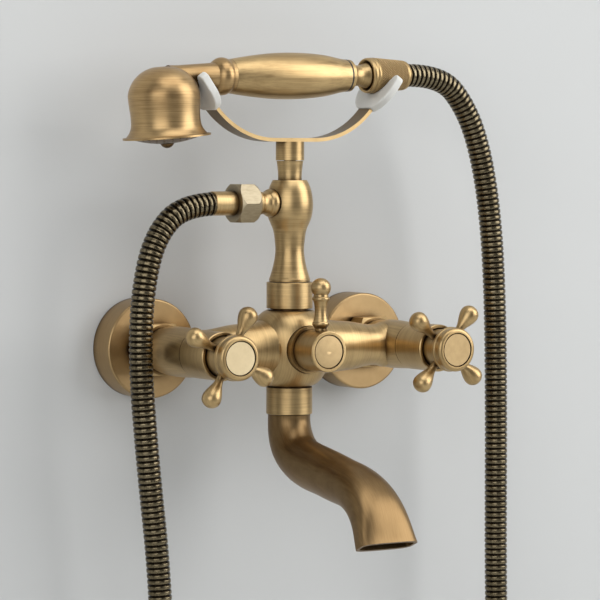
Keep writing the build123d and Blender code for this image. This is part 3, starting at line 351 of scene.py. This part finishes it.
def knurled_brass():
    """Turned brass with painted shade, a dark brown, in the valleys that the knurl attribute marks."""
    knurl = Shades("knurled_brass")
    valley = knurl.add("ShaderNodeAttribute", attribute_name="knurl").outputs["Fac"]
    strokes = knurl.noise(KNURL_STROKES, detail=STROKE_DETAIL, roughness=STROKE_GRAIN)
    metal = knurl.mix(knurl.span(strokes, *KNURL_TONE_SPAN), BRASS_MID, BRASS_BRIGHT)
    # Painted shade: dark brown in the knurl's valleys.
    knurl.base(knurl.mix(knurl.span(valley, *KNURL_VALLEY_SPAN), metal, KNURL_VALLEY_SHADE))
    knurl.rough(knurl.span(strokes, *NOISE_SPAN, *KNURL_ROUGHNESS))
    knurl.shader.inputs["Metallic"].default_value = 1.0
    return knurl.material


MILK_CLOUD = (90.0, 90.0, 90.0)
MILK_GRAIN = (1400.0, 1400.0, 1400.0)
MILK_DARKER = (0.64, 0.635, 0.60)
MILK_LIGHTER = (0.71, 0.705, 0.67)
MILK_ROUGHNESS = (0.34, 0.42)
MILK_RELIEF = (0.08, 0.00003)
MILK_THROUGH = 0.6
MILK_DEPTH = 0.004


def milky_plastic():
    """Milky moulded plastic that lets a little light through."""
    milk = Shades("milky_liner")
    cloudy = milk.noise(MILK_CLOUD)
    milk.base(milk.mix(milk.span(cloudy, *NOISE_SPAN), MILK_DARKER, MILK_LIGHTER))
    grain = milk.noise(MILK_GRAIN, detail=1.0)
    milk.rough(milk.span(grain, *NOISE_SPAN, *MILK_ROUGHNESS))
    milk.bump(grain, *MILK_RELIEF)
    milk.shader.inputs["Subsurface Weight"].default_value = MILK_THROUGH
    milk.shader.inputs["Subsurface Scale"].default_value = MILK_DEPTH
    milk.shader.inputs["Subsurface Radius"].default_value = (1.0, 1.0, 1.0)
    return milk.material


PLAIN_GRAIN = (1200.0, 1200.0, 1200.0)
PLAIN_RELIEF = (0.1, 0.00002)


def plain_finish(name, low, high, rough_low, rough_high, metallic=0.0):
    """Small even finish with a fine grain in colour and gloss."""
    finish = Shades(name)
    speckle = finish.noise(PLAIN_GRAIN)
    finish.base(finish.mix(finish.span(speckle, *NOISE_SPAN), low, high))
    finish.rough(finish.span(speckle, *NOISE_SPAN, rough_low, rough_high))
    finish.bump(speckle, *PLAIN_RELIEF)
    finish.shader.inputs["Metallic"].default_value = metallic
    return finish.material


windings = hose_metal()
knurled = knurled_brass()
strap_painted_shade = strap_metal()
milky = milky_plastic()
black_rubber = plain_finish("black_rubber", (0.010, 0.010, 0.010), (0.022, 0.021, 0.020), 0.45, 0.65)
black_band = plain_finish("black_band", (0.012, 0.010, 0.008), (0.028, 0.024, 0.020), 0.30, 0.45)
ceramic = plain_finish("polished_ceramic", (0.80, 0.80, 0.78), (0.86, 0.86, 0.84), 0.10, 0.16)
steel = plain_finish("turned_steel", (0.42, 0.41, 0.40), (0.56, 0.55, 0.54), 0.24, 0.36, metallic=1.0)

NODE_FINISH = {
    around_z: ["riser_collar", "riser_column", "riser_neck", "cradle_post", "spout_collar", "diverter_lever"],
    darker_bell: ["handset_head"],
    darker_plate: ["spray_plate", "spray_screw"],
    around_x: ["handset_tail", "shower_outlet", "mixer_body", "hose_ferrule", "tail_ferrule"],
    along_x: ["handset_grip"],
    strap_painted_shade: ["cradle_strap"],
    around_y: [
        "union_nut_left", "union_nut_right", "valve_sleeve_left", "valve_sleeve_right", "diverter_bonnet",
        "diverter_knob", "cross_handle_left", "cross_handle_right",
    ],
    flange_painted_shade: ["wall_flange_left", "wall_flange_right"],
    caps_painted_lit: ["handle_cap_left"],
    spun_caps: ["handle_cap_right", "diverter_cap"],
    spout_painted_shade: ["spout"],
    greyer_nut: ["hose_nut"],
    plain_brass: [
        "inlet_union_left", "inlet_union_right", "headwork_left", "headwork_right", "spindle_left",
        "spindle_right", "diverter_spindle",
    ],
    black_rubber: [
        "inlet_washers", "seat_seals", "spindle_o_rings", "riser_washer", "hose_washer", "spout_o_rings",
        "tail_washer",
    ],
    black_band: ["grip_ring"],
    ceramic: ["fixed_discs", "moving_disc_left", "moving_disc_right", "diverter_disc"],
    steel: [
        "handle_screw_left", "handle_screw_right", "diverter_screw", "riser_clip", "spout_clip",
        "cradle_screw",
    ],
    milky: ["cradle_liner_left", "cradle_liner_right"],
}


def dress_nodes():
    """Give every carried-over node its finish."""
    for finish, names in NODE_FINISH.items():
        for name in names:
            for slot in nodes[name].material_slots:
                slot.material = finish


dress_nodes()


# ---- small tools for pieces ----
def mesh_of(piece):
    """Plain mesh of a piece with its modifiers and curve applied."""
    bpy.context.view_layer.update()
    graph = bpy.context.evaluated_depsgraph_get()
    return bpy.data.meshes.new_from_object(piece.evaluated_get(graph), depsgraph=graph)


def piece_from(mesh, name, finish):
    """Mesh as a piece of the scene, with one finish."""
    mesh.name = name
    mesh.materials.clear()
    mesh.materials.append(finish)
    piece = bpy.data.objects.new(name, mesh)
    bpy.context.scene.collection.objects.link(piece)
    return piece


class Tree:
    """One geometry tree with named inputs for its sizes."""

    def __init__(self, name, sizes):
        self.group = bpy.data.node_groups.new(name, "GeometryNodeTree")
        face = self.group.interface
        face.new_socket("Geometry", in_out="INPUT", socket_type="NodeSocketGeometry")
        for key, value in sizes.items():
            kind = "NodeSocketInt" if isinstance(value, int) else "NodeSocketFloat"
            socket = face.new_socket(key, in_out="INPUT", socket_type=kind)
            socket.default_value = value
        face.new_socket("Geometry", in_out="OUTPUT", socket_type="NodeSocketGeometry")
        self.entry = self.group.nodes.new("NodeGroupInput")
        self.exit = self.group.nodes.new("NodeGroupOutput")

    def add(self, kind, **settings):
        node = self.group.nodes.new(kind)
        for key, value in settings.items():
            setattr(node, key, value)
        return node

    def link(self, out, socket):
        self.group.links.new(out, socket)

    def math(self, operation, *values):
        node = self.add("ShaderNodeMath", operation=operation)
        for index, value in enumerate(values):
            if isinstance(value, (int, float)):
                node.inputs[index].default_value = value
            else:
                self.link(value, node.inputs[index])
        return node.outputs["Value"]

    def finish_with(self, geometry, finish):
        realize = self.add("GeometryNodeRealizeInstances")
        self.link(geometry, realize.inputs["Geometry"])
        shade = self.add("GeometryNodeSetMaterial")
        shade.inputs["Material"].default_value = finish
        self.link(realize.outputs["Geometry"], shade.inputs["Geometry"])
        self.link(shade.outputs["Geometry"], self.exit.inputs[0])

    def put_on(self, piece):
        modifier = piece.modifiers.new(self.group.name, "NODES")
        modifier.node_group = self.group


# ---- the hose ----
def hose_line():
    """Smooth line of the hose, one open spline through the route."""
    curve = bpy.data.curves.new("hose_line", "CURVE")
    curve.dimensions = "3D"
    curve.resolution_u = ROUTE_STEPS
    spline = curve.splines.new("NURBS")
    spline.points.add(len(HOSE_ROUTE) - 1)
    for point, (x, z) in zip(spline.points, HOSE_ROUTE):
        point.co = (x, RISER_Y, z, 1.0)
    spline.order_u = ROUTE_ORDER
    spline.use_endpoint_u = True
    line = bpy.data.objects.new("hose_line", curve)
    bpy.context.scene.collection.objects.link(line)
    return line


def line_points(line):
    """Points along the spline, in order."""
    return [vertex.co.copy() for vertex in mesh_of(line).vertices]


def hose_tube(points):
    """Ribbed tube built along the spline's own points."""
    count = int(HOSE_LENGTH / WINDING_PITCH) * WINDING_STEPS
    tree = Tree(
        "hose_windings",
        {
            "Radius": HOSE_RADIUS, "Valley": HOSE_VALLEY, "Pitch": WINDING_PITCH, "Plain": HOSE_PLAIN,
            "Rings": count, "Sides": HOSE_SIDES,
        },
    )
    entry = tree.entry.outputs
    resample = tree.add("GeometryNodeResampleCurve")
    tree.link(entry["Geometry"], resample.inputs["Curve"])
    tree.link(entry["Rings"], resample.inputs["Count"])
    along = tree.add("GeometryNodeSplineParameter").outputs["Length"]
    phase = tree.math("FRACT", tree.math("DIVIDE", along, entry["Pitch"]))
    away = tree.math("ABSOLUTE", tree.math("SUBTRACT", tree.math("MULTIPLY", phase, 2.0), 1.0))
    plain = tree.math("LESS_THAN", along, entry["Plain"])
    gap = tree.math("MAXIMUM", tree.math("POWER", away, GAP_SHARPNESS), plain)
    depth = tree.math("SUBTRACT", entry["Radius"], entry["Valley"])
    radius = tree.math("SUBTRACT", entry["Radius"], tree.math("MULTIPLY", gap, depth))
    mark = tree.add("GeometryNodeStoreNamedAttribute", data_type="FLOAT", domain="POINT")
    mark.inputs["Name"].default_value = "gap"
    tree.link(resample.outputs["Curve"], mark.inputs["Geometry"])
    tree.link(gap, mark.inputs["Value"])
    around = tree.add("GeometryNodeCurvePrimitiveCircle")
    around.inputs["Radius"].default_value = 1.0
    tree.link(entry["Sides"], around.inputs["Resolution"])
    tube = tree.add("GeometryNodeCurveToMesh")
    tube.inputs["Fill Caps"].default_value = True
    tree.link(mark.outputs["Geometry"], tube.inputs["Curve"])
    tree.link(radius, tube.inputs["Scale"])
    tree.link(around.outputs["Curve"], tube.inputs["Profile Curve"])
    smooth = tree.add("GeometryNodeSetShadeSmooth")
    tree.link(tube.outputs["Mesh"], smooth.inputs["Geometry"])
    tree.finish_with(smooth.outputs["Geometry"], windings)

    curve = bpy.data.curves.new("hose_path", "CURVE")
    curve.dimensions = "3D"
    spline = curve.splines.new("POLY")
    spline.points.add(len(points) - 1)
    for point, place in zip(spline.points, points):
        point.co = (*place, 1.0)
    holder = bpy.data.objects.new("hose_path", curve)
    bpy.context.scene.collection.objects.link(holder)
    tree.put_on(holder)
    tube_piece = piece_from(mesh_of(holder), "shower_hose", windings)
    bpy.data.objects.remove(holder)
    return tube_piece


def make_hose():
    """Hose built along its own spline; the model's own hose is hidden."""
    line = hose_line()
    points = line_points(line)
    bpy.data.objects.remove(line)
    hose = hose_tube(points)
    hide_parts("hose")
    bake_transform(hose)


make_hose()


# ---- the knurled nut on the hose's end ----
# Places along the hand shower's axis and radii there: before the knurl, and after it and through the bore.
NUT_OUTLINE = [
    (0.0576, 0.00816), (0.0534, 0.00930), (0.0534, 0.00990), (0.0537, 0.01022), (0.0543, 0.01045),
    (0.0552, 0.01060), (0.0562, 0.01066), (0.0564, 0.01046), (0.0567, 0.01046), (0.0569, 0.01070),
    (0.0585, 0.01070), (0.0587, 0.01052), (0.0590, 0.01052),
]
NUT_TAIL = [
    (0.0792, 0.00880), (0.0795, 0.00892), (0.0806, 0.00884), (0.0814, 0.00858), (0.0819, 0.00820),
    (0.0820, 0.00780), (0.0820, 0.00716), (0.0715, 0.00716), (0.0715, 0.00816),
]
KNURL_ROWS = 128
KNURL_SIDES = 416
KNURL_BLANK = (0.01074, 0.00906)
KNURL_LEAST = 0.0086
KNURL_DEPTH = 0.00046
KNURL_TEETH = 26
KNURL_LEAD = 2400.0
KNURL_SHARPNESS = 4.0


def lathe(outline, sides, name, finish):
    """Closed skin turned about X from (x, radius) places."""
    places = []
    faces = []
    for x, radius in outline:
        for index in range(sides):
            turn = 2 * math.pi * index / sides
            places.append((x, radius * math.cos(turn), radius * math.sin(turn)))
    rows = len(outline)
    for row in range(rows):
        after = (row + 1) % rows
        for index in range(sides):
            beside = (index + 1) % sides
            here, there = row * sides, after * sides
            faces.append((here + index, here + beside, there + beside, there + index))
    mesh = bpy.data.meshes.new(name)
    mesh.from_pydata(places, [], faces)
    mesh.validate()
    for polygon in mesh.polygons:
        polygon.use_smooth = True
    return piece_from(mesh, name, finish)


def make_knurled_nut():
    """Conical nut with a diamond knurl between its smooth lead and its rounded end."""
    start, end = NUT_OUTLINE[-1][0], NUT_TAIL[0][0]
    band = []
    for row in range(KNURL_ROWS + 1):
        share = row / KNURL_ROWS
        radius = KNURL_BLANK[0] + (KNURL_BLANK[1] - KNURL_BLANK[0]) * share
        band.append((start + (end - start) * share, radius))
    blank = lathe([*NUT_OUTLINE, *band, *NUT_TAIL], KNURL_SIDES, "knurled_nut_blank", knurled)
    tree = Tree(
        "diamond_knurl",
        {
            "From": start, "To": end, "Least": KNURL_LEAST, "Depth": KNURL_DEPTH, "Teeth": KNURL_TEETH,
            "Lead": KNURL_LEAD,
        },
    )
    entry = tree.entry.outputs
    split = tree.add("ShaderNodeSeparateXYZ")
    tree.link(tree.add("GeometryNodeInputPosition").outputs["Position"], split.inputs["Vector"])
    along, across, up = (split.outputs[axis] for axis in "XYZ")
    turn = tree.math("MULTIPLY", tree.math("ARCTAN2", up, across), entry["Teeth"])
    lead = tree.math("MULTIPLY", along, entry["Lead"])
    threads = []
    for hand in ("ADD", "SUBTRACT"):
        wave = tree.math("ABSOLUTE", tree.math("COSINE", tree.math(hand, turn, lead)))
        threads.append(tree.math("POWER", wave, KNURL_SHARPNESS))
    valley = tree.math("MAXIMUM", *threads)
    squares = tree.math("ADD", tree.math("MULTIPLY", across, across), tree.math("MULTIPLY", up, up))
    radius = tree.math("SQRT", squares)
    after_lead = tree.math("GREATER_THAN", along, entry["From"])
    before_end = tree.math("LESS_THAN", along, entry["To"])
    outside = tree.math("GREATER_THAN", radius, entry["Least"])
    inside = tree.math("MULTIPLY", tree.math("MULTIPLY", after_lead, before_end), outside)
    marked = tree.math("MULTIPLY", valley, inside)
    drop = tree.math("MULTIPLY", marked, entry["Depth"])
    share = tree.math("DIVIDE", tree.math("MULTIPLY", drop, -1.0), radius)
    offset = tree.add("ShaderNodeCombineXYZ")
    tree.link(tree.math("MULTIPLY", across, share), offset.inputs["Y"])
    tree.link(tree.math("MULTIPLY", up, share), offset.inputs["Z"])
    mark = tree.add("GeometryNodeStoreNamedAttribute", data_type="FLOAT", domain="POINT")
    mark.inputs["Name"].default_value = "knurl"
    tree.link(entry["Geometry"], mark.inputs["Geometry"])
    tree.link(marked, mark.inputs["Value"])
    move = tree.add("GeometryNodeSetPosition")
    tree.link(mark.outputs["Geometry"], move.inputs["Geometry"])
    tree.link(offset.outputs["Vector"], move.inputs["Offset"])
    tree.finish_with(move.outputs["Geometry"], knurled)
    tree.put_on(blank)
    nut = piece_from(mesh_of(blank), "knurled_nut", knurled)
    nut.data.transform(Matrix.Translation((0.0, RISER_Y, HANDSET_Z)) @ Matrix.Rotation(-HANDSET_TILT, 4, "Y"))
    bpy.data.objects.remove(blank)
    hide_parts("tail_nut")
    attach(nut, "handset")


make_knurled_nut()


# ---- room and light ----
WALL_Y = 0.0004
FLOOR_Z = -0.52
ROOM_SIDE = 3.0
ROOM_REACH = 4.0
ROOM_TOP = 2.6
ROOM_COLOUR = (0.615, 0.623, 0.618)
ROOM_LIGHTER = 1.02
ROOM_ROUGHNESS = 0.9
ROOM_GLOSS = 0.1
SKY_COLOUR = (0.62, 0.63, 0.64)
SKY_STRENGTH = 0.26
LAMP_TARGET = (0.0, -0.05, 0.03)
SPECKLE_SCALE = (6.0, 6.0, 6.0)

# Name, place, width and height in metres, and power in watts.
LAMPS = [
    ("window_right", (1.7, -1.5, 0.9), 1.8, 2.1, 41.0),
    ("window_left", (-1.6, -1.5, 0.5), 1.7, 1.5, 15.0),
    ("ceiling", (0.1, -0.9, 1.9), 2.2, 1.4, 21.0),
]


def pale_plane(name, corners):
    """Pale wall or floor, shown only from the side that faces the room."""
    mesh = bpy.data.meshes.new(name)
    mesh.from_pydata(corners, [], [(0, 1, 2, 3)])
    paint = Shades(name)
    speckle = paint.noise(SPECKLE_SCALE)
    lighter = tuple(value * ROOM_LIGHTER for value in ROOM_COLOUR)
    paint.base(paint.mix(paint.span(speckle, *NOISE_SPAN), ROOM_COLOUR, lighter))
    paint.shader.inputs["Roughness"].default_value = ROOM_ROUGHNESS
    paint.shader.inputs["Specular IOR Level"].default_value = ROOM_GLOSS
    sides = paint.add("ShaderNodeMixShader")
    paint.link(paint.add("ShaderNodeNewGeometry").outputs["Backfacing"], sides.inputs[0])
    paint.link(paint.shader.outputs["BSDF"], sides.inputs[1])
    paint.link(paint.add("ShaderNodeBsdfTransparent").outputs["BSDF"], sides.inputs[2])
    paint.link(sides.outputs["Shader"], paint.tree.nodes["Material Output"].inputs["Surface"])
    plane = piece_from(mesh, name, paint.material)


def area_lamp(name, place, width, height, power):
    """Soft rectangular lamp that shines at the mixer."""
    data = bpy.data.lights.new(name, "AREA")
    data.shape = "RECTANGLE"
    data.size = width
    data.size_y = height
    data.energy = power
    lamp = bpy.data.objects.new(name, data)
    lamp.matrix_world = looking(place, LAMP_TARGET)
    bpy.context.scene.collection.objects.link(lamp)


def room_corners(front, back, low, high):
    """Corners of the wall or the floor, in turn so that it faces the room."""
    near = [(-ROOM_SIDE, front, low), (ROOM_SIDE, front, low)]
    return [*near, (ROOM_SIDE, back, high), (-ROOM_SIDE, back, high)]


def make_room():
    """Wall, floor, lamps and the room's even light."""
    pale_plane("wall", room_corners(WALL_Y, WALL_Y, FLOOR_Z, ROOM_TOP))
    pale_plane("floor", room_corners(-ROOM_REACH, ROOM_REACH, FLOOR_Z, FLOOR_Z))
    for lamp in LAMPS:
        area_lamp(*lamp)
    world = bpy.data.worlds.new("room")
    world.use_nodes = True
    sky = world.node_tree.nodes["Background"]
    sky.inputs["Color"].default_value = (*SKY_COLOUR, 1.0)
    sky.inputs["Strength"].default_value = SKY_STRENGTH
    bpy.context.scene.world = world
    bpy.context.scene.view_settings.view_transform = "Standard"


make_room()
